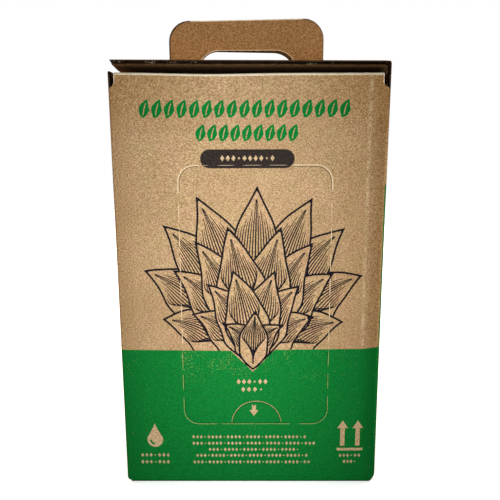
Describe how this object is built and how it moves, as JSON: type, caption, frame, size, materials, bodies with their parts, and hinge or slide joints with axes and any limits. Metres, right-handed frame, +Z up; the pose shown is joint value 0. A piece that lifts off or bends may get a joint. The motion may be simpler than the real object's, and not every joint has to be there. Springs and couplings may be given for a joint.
{
  "type": "mushroom grow kit carton",
  "caption": "Corrugated cardboard carry carton of a mushroom grow kit, with a two-layer handle through a slotted hinged lid and a printed tear-out window outline.",
  "frame": {"origin": "middle of the base, on the surface that the carton stands on", "axes": "+Z up, front panel facing -Y, +X to the right seen from the front"},
  "size_m": [0.2, 0.13, 0.3693],
  "materials": {
    "printed_board": "uncoated kraft liner, printed in flat inks",
    "kraft_board": "uncoated kraft liner"
  },
  "bodies": {
    "carton": {"carton_body": "printed_board", "base_flap_front": "printed_board", "base_flap_rear": "printed_board", "base_tuck_left": "kraft_board", "base_tuck_right": "kraft_board", "handle_flap_front": "kraft_board", "handle_flap_rear": "kraft_board", "side_flap_left": "kraft_board"},
    "lid": {"lid": "kraft_board"}
  },
  "joints": [
    {"name": "lid_open", "type": "hinge", "parent": "carton", "child": "lid", "pos_m": [0.1, 0, 0.3217], "axis": [0, 1, 0], "range_deg": [0, 170]}
  ]
}
